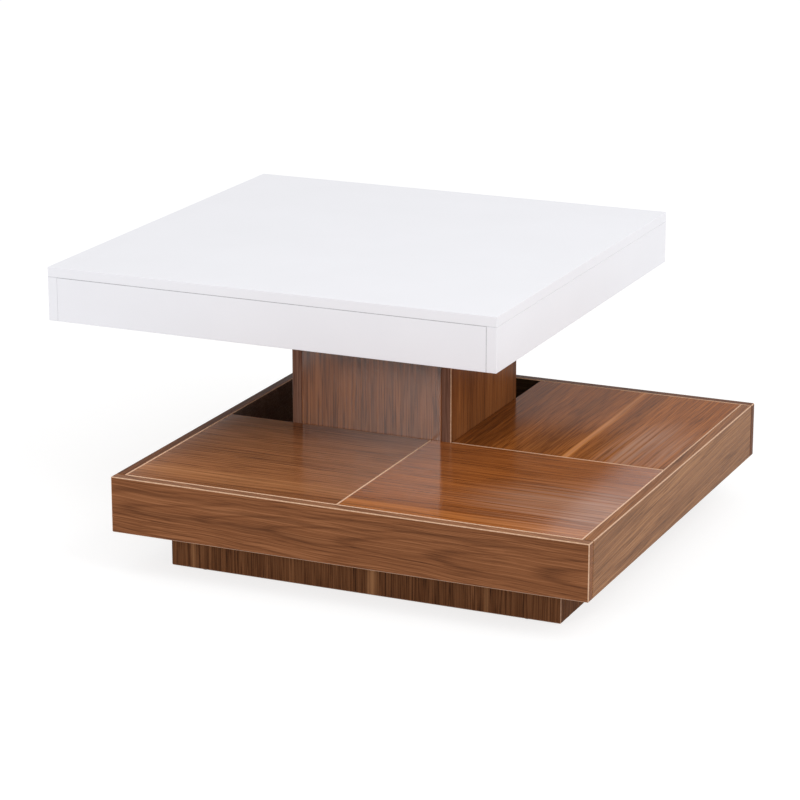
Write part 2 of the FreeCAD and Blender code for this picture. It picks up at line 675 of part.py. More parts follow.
def revolve(body, outline, name):
    """Turn a closed outline of radii and heights into a ring round the body's upright axis."""
    section = new_sketch(body, "XZ_Plane", f"{name}_section")
    draw_outline(section, outline)
    ring = new_feature(body, "Revolution", name)
    ring.Profile = section
    ring.ReferenceAxis = (section, ["V_Axis"])
    ring.Angle = 360


def race_plate(label, opening, race_outline):
    """A square plate with a raised race ring, made with its flat side down."""
    body = new_body(label)
    outline = new_sketch(body, "XY_Plane", f"{label}_outline")
    draw_square(outline, "bearing_side")
    draw_circle(outline, "0", "0", f"2 * {opening}")
    base = pad(body, outline, "plate_gauge", f"{label}_plate")
    doc.recompute()
    corners = [
        f"Edge{number}"
        for number, edge in enumerate(base.Shape.Edges, start=1)
        if min(abs(edge.CenterOfMass.x), abs(edge.CenterOfMass.y)) > sheet.bearing_side / 4
    ]
    rounding = new_feature(body, "Fillet", f"{label}_corners")
    rounding.Base = (base, corners)
    rounding.setExpression("Radius", bind("plate_corner"))
    revolve(body, race_outline, f"{label}_race")
    track = new_sketch(body, "XZ_Plane", f"{label}_track_section")
    draw_circle(track, "race_radius", BEARING_MIDDLE, "ball_diameter + 2 * ball_clearance")
    groove = new_feature(body, "Groove", f"{label}_track")
    groove.Profile = track
    groove.ReferenceAxis = (track, ["V_Axis"])
    groove.Angle = 360
    corner_point = [(BEARING_SCREW_AT, BEARING_SCREW_AT)]
    hole = Hole("Z", -1, "plate_gauge", "plate_gauge", BEARING_SCREW_HOLE, corner_point)
    drill(body, ("0", "0", "0"), hole, f"{label}_screw_hole")
    repeat_round(body, body.Tip, "4", f"{label}_screw_holes")
    return body


def make_bearing():
    """The swivel bearing between the column's cap and the top's underside."""
    ring = [(RACE_INNER, "0"), (RACE_OUTER, "0"), (RACE_OUTER, RACE_TOP), (RACE_INNER, RACE_TOP)]
    lip = [(RACE_INNER, LIP_HIGH), (LIP_EDGE, LIP_HIGH), (LIP_EDGE, LIP_LOW), (RACE_INNER, LIP_LOW)]
    lower = race_plate("bearing_lower_plate", RACE_INNER, ring + lip)
    place(lower, ("0", "0", COLUMN_Z[1]))
    upper = race_plate("bearing_upper_plate", RETAINER_INNER, ring)
    upper.Placement = FreeCAD.Placement(Vector(), FreeCAD.Rotation(AXES["X"], 180))
    place(upper, ("0", "0", TOP_Z[0]))

    hook_top = "(hook_lift + plate_gauge)"
    weld_line = f"({BEARING_RISE} - plate_gauge)"
    retainer = new_body("bearing_retainer")
    revolve(
        retainer,
        [
            (RETAINER_INNER, "hook_lift"),
            (HOOK_TIP, "hook_lift"),
            (HOOK_TIP, hook_top),
            (RETAINER_OUTER, hook_top),
            (RETAINER_OUTER, weld_line),
            (RETAINER_INNER, weld_line),
        ],
        "bearing_retainer_ring",
    )
    place(retainer, ("0", "0", COLUMN_Z[1]))

    cage = new_body("bearing_cage")
    outline = new_sketch(cage, "XY_Plane", "bearing_cage_outline")
    draw_circle(outline, "0", "0", f"2 * ({RACE_INNER} + cage_margin)")
    draw_circle(outline, "0", "0", f"2 * ({RACE_OUTER} - cage_margin)")
    pad(cage, outline, "cage_gauge", "bearing_cage_ring")
    ball_width = "ball_diameter + 2 * cage_fit"
    ball_hole = Hole("Z", -1, "cage_gauge", "cage_gauge", ball_width, [("race_radius", "0")])
    drill(cage, ("0", "0", "0"), ball_hole, "bearing_cage_hole")
    repeat_round(cage, cage.Tip, "ball_count", "bearing_cage_holes")
    place(cage, ("0", "0", f"{COLUMN_Z[1]} + {BEARING_MIDDLE} - cage_gauge / 2"))

    balls = new_body("bearing_balls")
    ball = new_feature(balls, "AdditiveSphere", "bearing_ball")
    ball.setExpression("Radius", bind("ball_diameter / 2"))
    place(ball, ("race_radius", "0", "0"))
    repeat_round(balls, ball, "ball_count", "bearing_ball_ring")
    place(balls, ("0", "0", f"{COLUMN_Z[1]} + {BEARING_MIDDLE}"))

    head = ("bearing_screw_head", f"({BEARING_RISE} - 2 * plate_gauge - head_clearance) / 2")
    shank = ("bearing_screw_diameter", "plate_gauge + bearing_screw_bite")
    lower_seat = f"({COLUMN_Z[1]} + plate_gauge)"
    upper_seat = f"({TOP_Z[0]} - plate_gauge)"
    screw_sets = (("bearing_lower_screws", -1, lower_seat), ("bearing_upper_screws", 1, upper_seat))
    for label, toward, seat in screw_sets:
        screws = [
            screw(f"{label}_{number}", toward, seat, point, head, shank)
            for number, point in enumerate(bearing_screw_points(), start=1)
        ]
        group(label, screws)


# The top: a hollow white slab of a top panel, four aprons, an underside panel and two ribs.

def make_top():
    """The white top that turns on the bearing."""
    holes = {name: [] for name in ("panel", "underside", "front", "back", "left", "right")}
    joints = []
    apron_middle = middle(APRON_Z)
    for side, inward, plane in (("left", 1, UNDERSIDE_X[0]), ("right", -1, UNDERSIDE_X[1])):
        for face, wall in (("front", first_board(TOP_Y)), ("back", last_board(TOP_Y))):
            joint = Joint("X", inward, plane, [(middle(wall), apron_middle)])
            holes[side].append(face_holes(joint))
            holes[face].append(edge_holes(joint))
            joints.append(joint)
    for side, axis, inward, plane, along in (
        ("left", "X", 1, UNDERSIDE_X[0], UNDERSIDE_Y),
        ("right", "X", -1, UNDERSIDE_X[1], UNDERSIDE_Y),
        ("front", "Y", 1, UNDERSIDE_Y[0], UNDERSIDE_X),
        ("back", "Y", -1, UNDERSIDE_Y[1], UNDERSIDE_X),
    ):
        joint = Joint(axis, inward, plane, [(middle(along), middle(UNDERSIDE_Z))])
        holes[side].append(face_holes(joint))
        holes["underside"].append(edge_holes(joint))
        joints.append(joint)
        wall = f"({plane} - {inward} * board / 2)"
        ends = inset(along, "dowel_end")
        points = [(wall, end) if axis == "X" else (end, wall) for end in ends]
        joint = Joint("Z", -1, APRON_Z[1], points)
        holes["panel"].append(face_holes(joint))
        holes[side].append(edge_holes(joint))
        joints.append(joint)
    holes["underside"].append(bearing_pilot_holes(TOP_Z[0], 1))

    board("apron_left", (first_board(TOP_X), TOP_Y, APRON_Z), "lacquer_ease", holes["left"])
    board("apron_right", (last_board(TOP_X), TOP_Y, APRON_Z), "lacquer_ease", holes["right"])
    board("apron_front", (UNDERSIDE_X, first_board(TOP_Y), APRON_Z), "lacquer_ease", holes["front"])
    board("apron_back", (UNDERSIDE_X, last_board(TOP_Y), APRON_Z), "lacquer_ease", holes["back"])
    underside = (UNDERSIDE_X, UNDERSIDE_Y, UNDERSIDE_Z)
    board("top_underside_panel", underside, "lacquer_ease", holes["underside"])
    third = f"(({UNDERSIDE_X[1]} - {UNDERSIDE_X[0]}) / 3)"
    for side, line in (("left", f"{UNDERSIDE_X[0]} + {third}"), ("right", f"{UNDERSIDE_X[1]} - {third}")):
        strip(f"top_rib_{side}", (inset((line, line), "(-board / 2)"), UNDERSIDE_Y, RIB_Z))
    board("top_panel", (TOP_X, TOP_Y, last_board(TOP_Z)), "lacquer_ease", holes["panel"])
    dowels("top_dowels", joints)


def check_document():
    """Stop if any object failed, any cut cut nothing, or any sub-part is not a sound solid."""
    for item in doc.Objects:
        if "Invalid" in item.State or "Error" in item.State:
            raise RuntimeError(f"{item.Label} failed: {item.State}")
        if item.TypeId in ("PartDesign::Pocket", "PartDesign::Groove"):
            if item.Shape.Volume >= item.BaseFeature.Shape.Volume:
                raise RuntimeError(f"{item.Label} cuts nothing")
    for item in subparts:
        if item.Shape.isNull() or not item.Shape.isValid() or not item.Shape.Solids:
            raise RuntimeError(f"{item.Label} is not a sound solid")


make_plinth()
make_tray_shell()
make_tray_inside()
make_column()
make_bearing()
make_top()
doc.recompute()
check_document()

os.makedirs("parts", exist_ok=True)
for item in subparts:
    item.Shape.exportStep(f"parts/{item.Label}.step")
print(f"{len(subparts)} sub-parts written")
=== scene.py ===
import math

import bpy
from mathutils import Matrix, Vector


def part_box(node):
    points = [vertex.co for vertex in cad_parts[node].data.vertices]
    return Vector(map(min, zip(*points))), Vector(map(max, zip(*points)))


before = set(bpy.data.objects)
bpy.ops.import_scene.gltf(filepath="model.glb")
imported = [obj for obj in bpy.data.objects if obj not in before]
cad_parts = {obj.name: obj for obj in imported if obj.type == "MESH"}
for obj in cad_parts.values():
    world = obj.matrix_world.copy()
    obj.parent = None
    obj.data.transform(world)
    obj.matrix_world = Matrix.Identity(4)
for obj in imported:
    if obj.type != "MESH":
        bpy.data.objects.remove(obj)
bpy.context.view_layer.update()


# Foot glides
# Eight thin round pads, moulded in dark grey plastic and fixed under the plinth boards, so that the
# laminate's lower edge stands clear of the floor.

def paint(red, green, blue):
    """A colour as it is seen on a screen, 0 to 255, given to a shader as light."""
    shares = [value / 255 for value in (red, green, blue)]
    light = [share / 12.92 if share < 0.04045 else ((share + 0.055) / 1.055) ** 2.4 for share in shares]
    return (*light, 1.0)


def new_finish(name):
    """An empty material, with its node tree and its surface shader."""
    finish = bpy.data.materials.new(name)
    finish.use_nodes = True
    return finish, finish.node_tree, finish.node_tree.nodes["Principled BSDF"]


def shade(tree, kind, sockets, out=0, **settings):
    """Adds a shader node. A socket takes a value or another node's output; gives one output back."""
    made = tree.nodes.new("ShaderNode" + kind)
    for name, value in settings.items():
        setattr(made, name, value)
    for name, value in sockets.items():
        if isinstance(value, bpy.types.NodeSocket):
            tree.links.new(value, made.inputs[name])
        else:
            made.inputs[name].default_value = value
    return made.outputs[out]


def feed(tree, output, shader, socket):
    """Leads a node's output into a socket of a shader."""
    tree.links.new(output, shader.inputs[socket])


def speckle(tree, grain_size, detail=2.0, stretch=(1.0, 1.0, 1.0)):
    """Cloudy noise fixed to the piece: its grains are so many metres across, times the stretch."""
    place = shade(tree, "TexCoord", {}, out="Object")
    fine = [1.0 / (grain_size * share) for share in stretch]
    spread = shade(tree, "VectorMath", {0: place, 1: fine}, operation="MULTIPLY")
    return shade(tree, "TexNoise", {"Vector": spread, "Scale": 1.0, "Detail": detail})


def ramp(tree, share, stops):
    """Colours laid along a share from 0 to 1."""
    colours = shade(tree, "ValToRGB", {"Fac": share})
    elements = colours.node.color_ramp.elements
    while len(elements) < len(stops):
        elements.new(0.5)
    for element, (position, colour) in zip(elements, stops):
        element.position = position
        element.color = colour
    return colours


def two_tones(dark, light):
    """Ramp stops for two tones, set where cloudy noise has most of its range."""
    return [(0.3, dark), (0.7, light)]


def spread_value(tree, share, low, high):
    """A share from 0 to 1 turned into a value between two ends."""
    return shade(tree, "MapRange", {"Value": share, "To Min": low, "To Max": high})


def emboss(tree, surface, height, depth):
    """Lets a height pattern, so many metres deep, catch the light on a surface."""
    relief = shade(tree, "Bump", {"Height": height, "Distance": depth, "Strength": 1.0})
    feed(tree, relief, surface, "Normal")


def moulded_plastic(name, dark, light, roughness):
    """Moulded plastic: two close tones in fine specks, and a slightly uneven skin."""
    finish, tree, surface = new_finish(name)
    specks = speckle(tree, grain_size=0.0012, detail=3.0)
    feed(tree, ramp(tree, specks, two_tones(dark, light)), surface, "Base Color")
    feed(tree, spread_value(tree, specks, roughness - 0.08, roughness + 0.08), surface, "Roughness")
    emboss(tree, surface, specks, depth=0.00004)
    return finish


def dress(finish, *names):
    """Gives whole CAD nodes one finish."""
    for name in names:
        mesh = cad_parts[name].data
        mesh.materials.clear()
        mesh.materials.append(finish)


dress(moulded_plastic("glide_plastic", paint(38, 38, 40), paint(58, 58, 60), 0.5), "foot_glides")


# Plinth boards
# Four chipboard boards faced with walnut laminate, the grain upright, set back under the tray.
# The front and back boards run the full width and the pale core shows along each eased edge.

# Widths and lengths of the wood's markings, in metres, how far a mark's border frays, and the weight of
# the finest hairs.
bend_width = 0.07
broad_size = (0.035, 0.9)
streak_size = (0.006, 0.5)
hair_size = (0.0022, 0.16)
pore_size = (0.0012, 0.02)
fray = 0.004
hair_weight = 0.3

# The broad bands sway the growth rings by so many rings, and late wood fades over this share of one.
ring_sway = 3.0
late_share = 0.22

# The usual level of the noise, the hair threads and the late wood, which a board's mean tone allows for.
usual_noise = 0.5
usual_threads = 0.35
usual_late_wood = 0.12

# The tones of a board by their place in its list, and the half length of a mark that runs right through.
dark_tone, brown_tone, light_tone, pale_tone, grey_and_sheen_tone = range(5)
endless = 9.0


def walnut(name, grain, tones, heart=(0.0, 0.5), lean=0.0, taper=0.0, ring=0.006, flow=0.008, wave=0.25,
           offset=0.0, bands=0.25, streaks=0.3, fibres=0.25, rings=0.15, marks=(), roughness=0.28,
           gloss=0.025):
    """Walnut laminate. Grain names the axes along and across the grain and through the board.

    Heart is where the middle of the tree lies, across and through the board. Growth rings, so far
    apart, close round it and arch where the log tapers. Lean turns the grain off the board's edge and
    flow bends it, in waves so long. Bands, streaks, fibres and rings are the strengths of the markings,
    and roughness and gloss are the lacquer's. Marks lists single streaks and patches, some of them
    painted shade or painted sheen: place along and across the grain, half length, half width, strength
    and tone.
    """
    finish, tree, surface = new_finish(name)
    axes = shade(tree, "SeparateXYZ", {0: shade(tree, "TexCoord", {}, out="Object")}).node.outputs
    along, side, depth = (axes[letter] for letter in grain)

    def figure(place, width, length, detail):
        """Noise drawn out along the grain."""
        fine = (1.0 / length, 1.0 / width, 1.0 / width)
        drawn = shade(tree, "VectorMath", {0: place, 1: fine, 2: (offset,) * 3}, operation="MULTIPLY_ADD")
        return shade(tree, "TexNoise", {"Vector": drawn, "Scale": 1.0, "Detail": detail})

    def add_to(start, pattern, weight):
        """A value with so much of a pattern added to it."""
        return shade(tree, "Math", {0: pattern, 1: weight, 2: start}, operation="MULTIPLY_ADD")

    across = add_to(side, along, lean)
    straight = shade(tree, "CombineXYZ", {0: along, 1: across, 2: depth})
    wander = figure(straight, bend_width, wave, 1.0)
    shifted = add_to(-flow, wander, 2.0 * flow)
    bent = shade(tree, "Math", {0: across, 1: shifted}, operation="ADD")
    place = shade(tree, "CombineXYZ", {0: along, 1: bent, 2: depth})
    broad = figure(place, *broad_size, 1.0)
    middling = figure(place, *streak_size, 2.0)
    hair = figure(place, *hair_size, 1.0)
    pores = figure(place, *pore_size, 1.0)

    to_heart = {0: place, 1: (0.0, 1.0, 1.0), 2: (0.0, -heart[0], -heart[1])}
    from_heart = shade(tree, "VectorMath", to_heart, operation="MULTIPLY_ADD")
    radius = shade(tree, "VectorMath", {0: from_heart}, out="Value", operation="LENGTH")
    climbed = add_to(radius, along, -taper)
    count = shade(tree, "Math", {0: climbed, 1: 1.0 / ring}, operation="MULTIPLY")
    swayed = add_to(count, broad, ring_sway)
    off_line = shade(tree, "Math", {0: swayed, 1: 0.5}, operation="PINGPONG")
    ring_edge = {"Value": off_line, "From Max": late_share, "To Min": 1.0, "To Max": 0.0}
    late_wood = shade(tree, "MapRange", ring_edge, interpolation_type="SMOOTHSTEP")
    uneven = shade(tree, "Math", {0: late_wood, 1: middling}, operation="MULTIPLY")

    half_way = shade(tree, "Math", {0: hair, 1: 0.5}, operation="PINGPONG")
    threads = shade(tree, "MapRange", {"Value": half_way, "From Min": 0.42, "From Max": 0.5})

    darkened = usual_threads * fibres + usual_late_wood * rings
    tone = 0.5 - usual_noise * (bands + streaks + hair_weight) + darkened
    lighter = ((broad, bands), (middling, streaks), (hair, hair_weight))
    darker = ((threads, -fibres), (uneven, -rings))
    for pattern, weight in lighter + darker:
        tone = add_to(tone, pattern, weight)
    dashes = shade(tree, "MapRange", {"Value": pores, "From Min": 0.62, "From Max": 0.75, "To Max": 0.1})
    tone = shade(tree, "Math", {0: tone, 1: dashes}, operation="SUBTRACT")
    stops = [(0.2, tones[dark_tone]), (0.5, tones[brown_tone]), (0.8, tones[light_tone])]
    colour = ramp(tree, tone, stops)

    streak_range = {"Value": middling, "From Min": 0.32, "From Max": 0.68, "To Min": 0.1, "To Max": 1.9}
    streaky = shade(tree, "MapRange", streak_range)
    frayed = add_to(bent, hair, fray)
    frayed_place = shade(tree, "CombineXYZ", {0: along, 1: frayed})
    for centre, middle, half_length, half_width, strength, tint in marks:
        scale = (1.0 / half_length, 1.0 / half_width, 0.0)
        shift = (-centre / half_length, -(middle + fray / 2) / half_width, 0.0)
        outward = shade(tree, "VectorMath", {0: frayed_place, 1: scale, 2: shift}, operation="MULTIPLY_ADD")
        apart = shade(tree, "VectorMath", {0: outward}, out="Value", operation="LENGTH")
        fade = {"Value": apart, "From Min": 0.3, "From Max": 1.3, "To Min": strength, "To Max": 0.0}
        share = shade(tree, "MapRange", fade, interpolation_type="SMOOTHSTEP")
        broken = shade(tree, "Math", {0: share, 1: streaky}, operation="MULTIPLY")
        colour = shade(tree, "Mix", {0: broken, 6: colour, 7: tones[tint]}, out=2, data_type="RGBA")
    feed(tree, colour, surface, "Base Color")
    feed(tree, spread_value(tree, hair, roughness - 0.05, roughness + 0.07), surface, "Roughness")
    surface.inputs["Specular IOR Level"].default_value = gloss
    emboss(tree, surface, hair, depth=0.00003)
    return finish


def core_line_finish(name, dark, light):
    """The pale core of the board where the eased edge cuts through the laminate."""
    finish, tree, surface = new_finish(name)
    specks = speckle(tree, grain_size=0.004, detail=3.0)
    feed(tree, ramp(tree, specks, two_tones(dark, light)), surface, "Base Color")
    feed(tree, spread_value(tree, specks, 0.4, 0.6), surface, "Roughness")
    return finish


def chipboard_finish():
    """Raw chipboard: pale flakes of all sizes, darker between them, dry to the light."""
    finish, tree, surface = new_finish("raw_chipboard")
    place = shade(tree, "TexCoord", {}, out="Object")
    flakes = shade(tree, "TexVoronoi", {"Vector": place, "Scale": 420.0, "Randomness": 1.0}, out="Color")
    grey = shade(tree, "RGBToBW", {0: flakes})
    dust = speckle(tree, grain_size=0.0015, detail=4.0)
    mixed = shade(tree, "Math", {0: grey, 1: 0.6}, operation="MULTIPLY")
    mixed = shade(tree, "Math", {0: dust, 1: 0.5, 2: mixed}, operation="MULTIPLY_ADD")
    stops = [(0.15, paint(102, 74, 48)), (0.5, paint(152, 118, 82)), (0.85, paint(186, 154, 116))]
    feed(tree, ramp(tree, mixed, stops), surface, "Base Color")
    surface.inputs["Roughness"].default_value = 0.85
    emboss(tree, surface, mixed, depth=0.0003)
    return finish


core_line = core_line_finish("core_line", paint(190, 149, 118), paint(216, 178, 147))
# A darker copy of the core line paints the shade on eased edges that face down or stand low.
shaded_core_line = core_line_finish("shaded_core_line", paint(158, 117, 88), paint(182, 139, 108))
chipboard = chipboard_finish()

# A face is square to its board where its normal follows an axis this closely. It is near a side within
# this many metres, just over the width of an eased edge.
square_on = 0.99
ease = 0.0013
sides = (("left", "right"), ("front", "back"), ("bottom", "top"))
face_slot, strip_slot, line_slot, seam_slot, bore_slot, bottom_slot = range(6)


def near_sides(point, lowest, highest):
    """The sides of a board's box that a point lies on or very near."""
    near = set()
    for axis, (low_side, high_side) in enumerate(sides):
        if point[axis] - lowest[axis] < ease:
            near.add(low_side)
        if highest[axis] - point[axis] < ease:
            near.add(high_side)
    return near


def lay_board(name, face, strip, line, seam, seams=(), bottom_line=None):
    """Dresses a board: laminate on its faces, strip on its narrow sides and line on its eased edges.

    Seams names the eased edges that close against a neighbour, by the sides that meet there. The eased
    edges along the bottom may have a line of their own, and drilled holes show the chipboard.
    """
    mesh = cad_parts[name].data
    mesh.materials.clear()
    for finish in (face, strip, line, seam, chipboard, bottom_line or line):
        mesh.materials.append(finish)
    lowest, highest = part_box(name)
    thin = min(range(3), key=lambda axis: highest[axis] - lowest[axis])
    for polygon in mesh.polygons:
        turned = [abs(share) for share in polygon.normal]
        main = turned.index(max(turned))
        near = near_sides(polygon.center, lowest, highest)
        if turned[main] > square_on and len(near) == 1:
            polygon.material_index = face_slot if main == thin else strip_slot
        elif len(near) < 2:
            polygon.material_index = bore_slot
        elif any(set(words.split()) <= near for words in seams):
            polygon.material_index = seam_slot
        else:
            polygon.material_index = bottom_slot if "bottom" in near else line_slot


def stained(tones, red, green, blue):
    """The same tones with more or less of each colour, as boards differ, or to paint shade or sheen.

    The pale grey stays as it is: it paints sheen, reflected light, on the decks and greys one streak.
    """
    changed = [(tone[0] * red, tone[1] * green, tone[2] * blue, 1.0) for tone in tones[:grey_and_sheen_tone]]
    return changed + [tones[grey_and_sheen_tone]]


walnut_tones = (
    paint(78, 46, 28),
    paint(130, 81, 49),
    paint(168, 112, 72),
    paint(202, 142, 94),
    # The last tone, a pale grey, paints sheen of reflected light on the decks.
    paint(186, 152, 132),
)
plinth_tones = stained(walnut_tones, 0.62, 0.65, 0.7)
plinth_marks = (
    (0.0, -0.145, endless, 0.004, 0.5, pale_tone),
    (0.0, 0.125, endless, 0.008, 0.6, pale_tone),
    (0.0, 0.294, endless, 0.003, 0.5, pale_tone),
)
plinth_face = walnut("plinth_walnut", "ZXY", plinth_tones, offset=3.1, flow=0.002, streaks=0.4, fibres=0.35,
                     rings=0.0, marks=plinth_marks)
plinth_side = walnut("plinth_side_walnut", "ZYX", plinth_tones, offset=7.7, flow=0.002, streaks=0.4,
                     fibres=0.35, rings=0.0, gloss=0.005)
corner_seams = ("front left", "back left", "back right")
# The plinth's eased edges take the darker core line, painted shade under the tray's overhang.
for board in ("plinth_front", "plinth_back"):
    lay_board(board, plinth_face, plinth_side, shaded_core_line, plinth_face, corner_seams)
for board in ("plinth_left", "plinth_right"):
    lay_board(board, plinth_side, plinth_face, shaded_core_line, plinth_side, ("front", "back"))


# Plinth rails and corner blocks
# Two sawn chipboard rails across the plinth and four triangular blocks glued into its corners.
# A screw goes up through each block into the tray's floor.

dress(chipboard, "plinth_rail_left", "plinth_rail_right")
for corner in ("front_left", "front_right", "back_left", "back_right"):
    dress(chipboard, "plinth_block_" + corner)


def zinc_finish():
    """Zinc plate on steel: a cool grey with a faint yellow bloom, lightly scuffed."""
    finish, tree, surface = new_finish("zinc_plate")
    bloom = speckle(tree, grain_size=0.003, detail=3.0)
    scuffs = speckle(tree, grain_size=0.0006, detail=2.0)
    stops = two_tones(paint(168, 170, 172), paint(205, 203, 196))
    feed(tree, ramp(tree, bloom, stops), surface, "Base Color")
    feed(tree, spread_value(tree, scuffs, 0.22, 0.42), surface, "Roughness")
    surface.inputs["Metallic"].default_value = 1.0
    emboss(tree, surface, scuffs, depth=0.00001)
    return finish


zinc = zinc_finish()
dress(zinc, "plinth_block_screws")


# Tray floor and walls
# The tray is a shallow box of laminated chipboard. The front and back walls run the full width and
# the side walls stand between them. Dowels set the walls, and cam locks draw them tight to the floor.

tray_strip_x = walnut("tray_strip_x", "XYZ", stained(walnut_tones, 0.97, 0.98, 1.0), lean=0.3, offset=2.3,
                      rings=0.0)
tray_strip_y = walnut("tray_strip_y", "YXZ", stained(walnut_tones, 1.15, 1.24, 1.28), lean=0.05, offset=5.9,
                      rings=0.0)
front_rim = walnut("front_rim", "XYZ", stained(walnut_tones, 1.2, 1.42, 1.85), lean=0.3, offset=2.3,
                   rings=0.0)
# Darker copies of the strips paint the shade on the back and left walls' edges, under the top.
shaded_strip_tones = stained(walnut_tones, 0.53, 0.46, 0.38)
shaded_strip_x = walnut("shaded_strip_x", "XYZ", shaded_strip_tones, lean=0.3, offset=3.3, rings=0.0)
shaded_strip_y = walnut("shaded_strip_y", "YXZ", shaded_strip_tones, lean=0.05, offset=6.9, rings=0.0)
tray_front_marks = (
    (-0.17, 0.121, 0.14, 0.004, 0.4, dark_tone),
    (-0.09, 0.092, 0.2, 0.006, 0.3, dark_tone),
    (0.02, 0.112, 0.15, 0.003, 0.35, dark_tone),
    (0.22, 0.128, 0.18, 0.003, 0.35, dark_tone),
)
tray_front_face = walnut("tray_front_walnut", "XZY", stained(walnut_tones, 0.95, 0.97, 1.07),
                         heart=(0.104, -0.425), lean=0.02, taper=0.035, ring=0.0045, flow=0.0045, wave=0.11,
                         offset=11.2, bands=0.2, streaks=0.15, fibres=0.18, rings=0.25,
                         marks=tray_front_marks)
tray_back_face = walnut("tray_back_walnut", "XZY", walnut_tones, heart=(0.09, 0.26), taper=-0.03, offset=4.4,
                        rings=0.3)
tray_left_face = walnut("tray_left_walnut", "YZX", walnut_tones, heart=(0.11, -0.27), taper=0.03, offset=8.8,
                        rings=0.3)
# The right wall's tones are lighter and greyer, painting the haze of light on that side.
tray_right_face = walnut("tray_right_walnut", "YZX", stained(walnut_tones, 1.1, 1.32, 1.5), heart=(0.1, 0.3),
                         lean=-0.04, offset=1.7)
tray_floor_face = walnut("tray_floor_walnut", "XYZ", walnut_tones, heart=(0.05, 0.3), offset=6.6)
# The well's lining is greyed to paint the grey sheen it reflects in the shade of the well.
sheen_grey_lining = walnut("sheen_grey_lining", "XYZ", stained(walnut_tones, 0.68, 1.3, 2.8), offset=9.1)
# The back wall's inner face is much darker: painted shade deep in the well under the top.
shaded_back_lining = walnut("shaded_back_lining", "XZY", stained(walnut_tones, 0.2, 0.3, 0.4), offset=4.7)
# A lighter copy of the core line paints light onto eased edges that sit in shade: the left wall's and the
# front decks'.
lit_core_line = core_line_finish("lit_core_line", paint(212, 170, 138), paint(236, 200, 170))
tray_walls = {
    "tray_front": (tray_front_face, tray_strip_x, core_line, tray_strip_x, ("back left", "back right")),
    "tray_back": (tray_back_face, shaded_strip_x, core_line, shaded_strip_x, ("front left", "front right")),
    "tray_left": (tray_left_face, shaded_strip_y, lit_core_line, tray_left_face, ("front", "back")),
    "tray_right": (tray_right_face, tray_strip_y, core_line, tray_right_face, ("front", "back")),
}
# The walls' bottom edges take the darker core line, painted shade where they face down.
for board, finishes in tray_walls.items():
    lay_board(board, *finishes, bottom_line=shaded_core_line)
lay_board("tray_floor", tray_floor_face, tray_strip_x, core_line, core_line)


def line_side(name, side, finish):
    """Gives one face of a board another finish."""
    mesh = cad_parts[name].data
    mesh.materials.append(finish)
    axis, pair = next((axis, pair) for axis, pair in enumerate(sides) if side in pair)
    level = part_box(name)[pair.index(side)][axis]
    for polygon in mesh.polygons:
        if abs(polygon.center[axis] - level) < ease and abs(polygon.normal[axis]) > square_on:
            polygon.material_index = len(mesh.materials) - 1


for board, inner_side in (("front", "back"), ("left", "right"), ("right", "left"), ("floor", "top")):
    line_side("tray_" + board, inner_side, sheen_grey_lining)
line_side("tray_back", "front", shaded_back_lining)
line_side("tray_front", "top", front_rim)
dress(zinc, "tray_cams", "tray_cam_bolts")


def beech_finish():
    """Turned beech: pale pinkish wood with short dark flecks along the dowel."""
    finish, tree, surface = new_finish("beech")
    flecks = speckle(tree, grain_size=0.0014, detail=3.0)
    stops = [(0.3, paint(176, 132, 92)), (0.6, paint(214, 176, 134))]
    feed(tree, ramp(tree, flecks, stops), surface, "Base Color")
    surface.inputs["Roughness"].default_value = 0.7
    emboss(tree, surface, flecks, depth=0.00006)
    return finish


beech = beech_finish()
dress(beech, "tray_dowels")


# Dividers and ledgers
# Upright boards stiffen the tray. The two that close off the open well are faced with laminate. Sawn
# chipboard strips, glued to the walls and the cross divider, carry the decks.

# The dividers take the well's lining, greyed to paint reflected sheen.
dress(sheen_grey_lining, "cross_divider", "side_divider")
dress(chipboard, "front_divider")
for side in ("left", "front_left", "front_right", "right_front", "right_back", "middle", "back"):
    dress(chipboard, "ledger_" + side)


# Decks
# Three laminated panels lie on the ledgers, level with the rim of the tray. The two at the front have
# their grain across the table and the one beside the column has its grain from front to back.

deck_roughness = 0.14
deck_heart = (0.3, -0.1)
# The pale streak is in the wood; the two dark patches paint shade at the back of the deck, under the top.
front_left_marks = (
    (0.0, -0.4, endless, 0.024, 0.26, pale_tone),
    (-0.1, -0.13, 0.3, 0.06, 0.3, dark_tone),
    (-0.24, -0.22, 0.12, 0.12, 0.35, dark_tone),
)
deck_front_left_face = walnut("deck_front_left_walnut", "XYZ", stained(walnut_tones, 1.09, 1.04, 0.98),
                              heart=deck_heart, ring=0.007, offset=9.5, streaks=0.25, fibres=0.35, rings=0.3,
                              marks=front_left_marks, roughness=deck_roughness, gloss=0.1)
# The pale streak is in the wood; the grey patch on the right paints sheen, reflected light.
front_right_marks = (
    (0.0, -0.427, endless, 0.02, 0.3, pale_tone),
    (0.38, -0.335, 0.15, 0.11, 0.28, grey_and_sheen_tone),
)
deck_front_right_face = walnut("deck_front_right_walnut", "XYZ", stained(walnut_tones, 1.22, 0.95, 0.56),
                               heart=deck_heart, ring=0.007, offset=13.9, streaks=0.25, fibres=0.35,
                               rings=0.28, marks=front_right_marks, roughness=deck_roughness, gloss=0.2)
